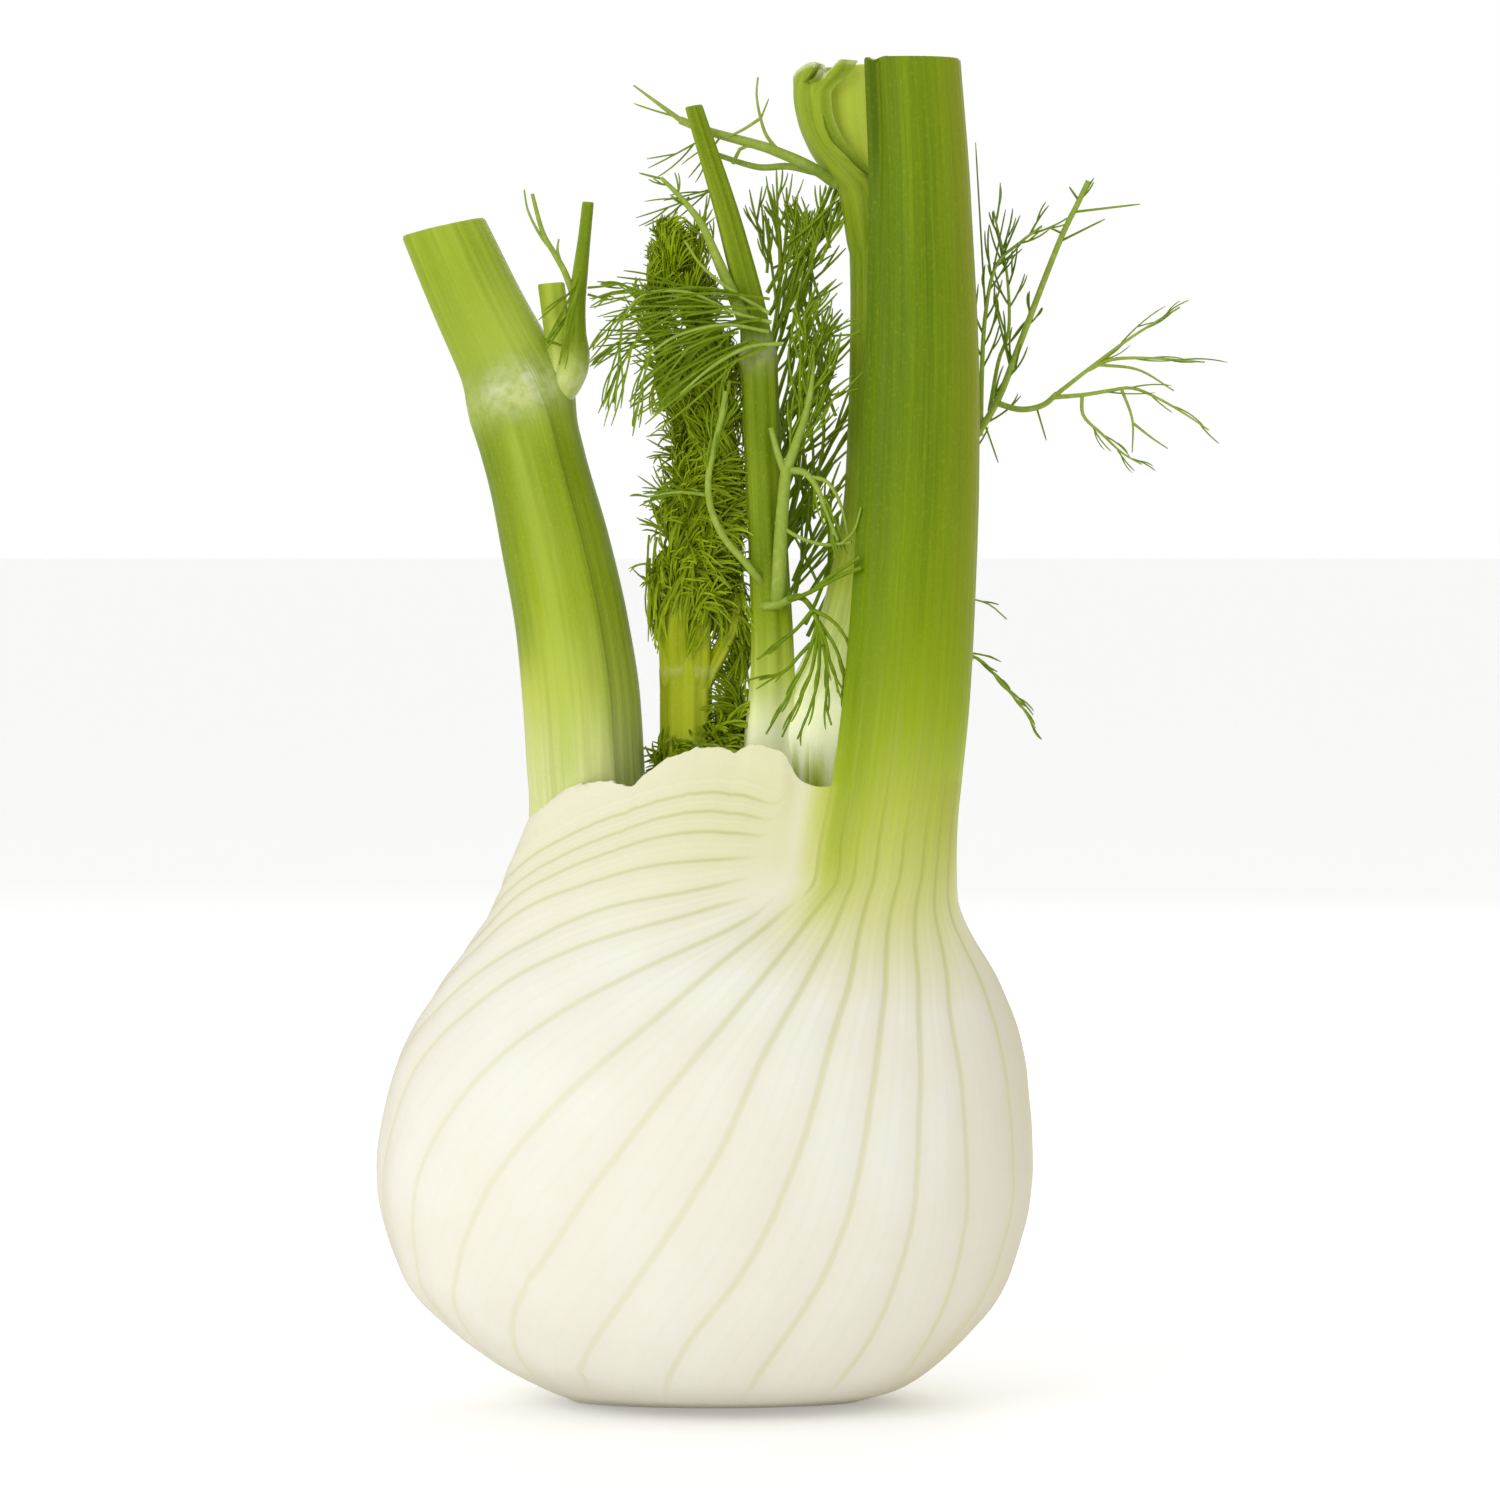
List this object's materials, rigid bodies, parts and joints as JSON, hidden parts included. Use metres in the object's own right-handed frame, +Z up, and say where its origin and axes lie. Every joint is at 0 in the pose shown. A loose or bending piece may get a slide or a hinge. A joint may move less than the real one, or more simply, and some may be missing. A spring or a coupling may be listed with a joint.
{
  "type": "fennel bulb",
  "caption": "Trimmed vegetable bulb of nested fleshy leaf bases, with cut stalks, a young heart shoot and sprays of feathery foliage above it.",
  "frame": {"origin": "on the flat cut face of the root plate, under the middle of the bulb", "axes": "+Z up along the bulb, -Y out of its front, +X to the side where the tall stalk stands"},
  "size_m": [0.1268, 0.0816, 0.203],
  "materials": {
    "cut_root": "dry cut plant tissue",
    "outer_leaf_skin": "waxy, veined, cream at the base and green on the stalk",
    "left_leaf_skin": "waxy, ribbed, green",
    "inner_leaf_skin": "waxy, pale green",
    "young_stalk": "waxy, ribbed, mid green",
    "heart_green": "waxy, yellow green",
    "foliage": "feathery dark green leaf threads"
  },
  "bodies": {
    "root": {"root_plate": "cut_root", "outer_leaf": "outer_leaf_skin", "left_leaf": "left_leaf_skin", "inner_leaf": "inner_leaf_skin", "centre_stalk": "young_stalk", "heart_shoot": "heart_green", "heart_plume": "foliage", "low_tuft": "foliage", "left_side_shoot": "young_stalk", "pocket_frond": "foliage", "centre_frond": "foliage", "left_spray": "foliage", "low_spray": "foliage", "back_frond": "foliage", "back_wisps": "foliage"}
  },
  "joints": []
}
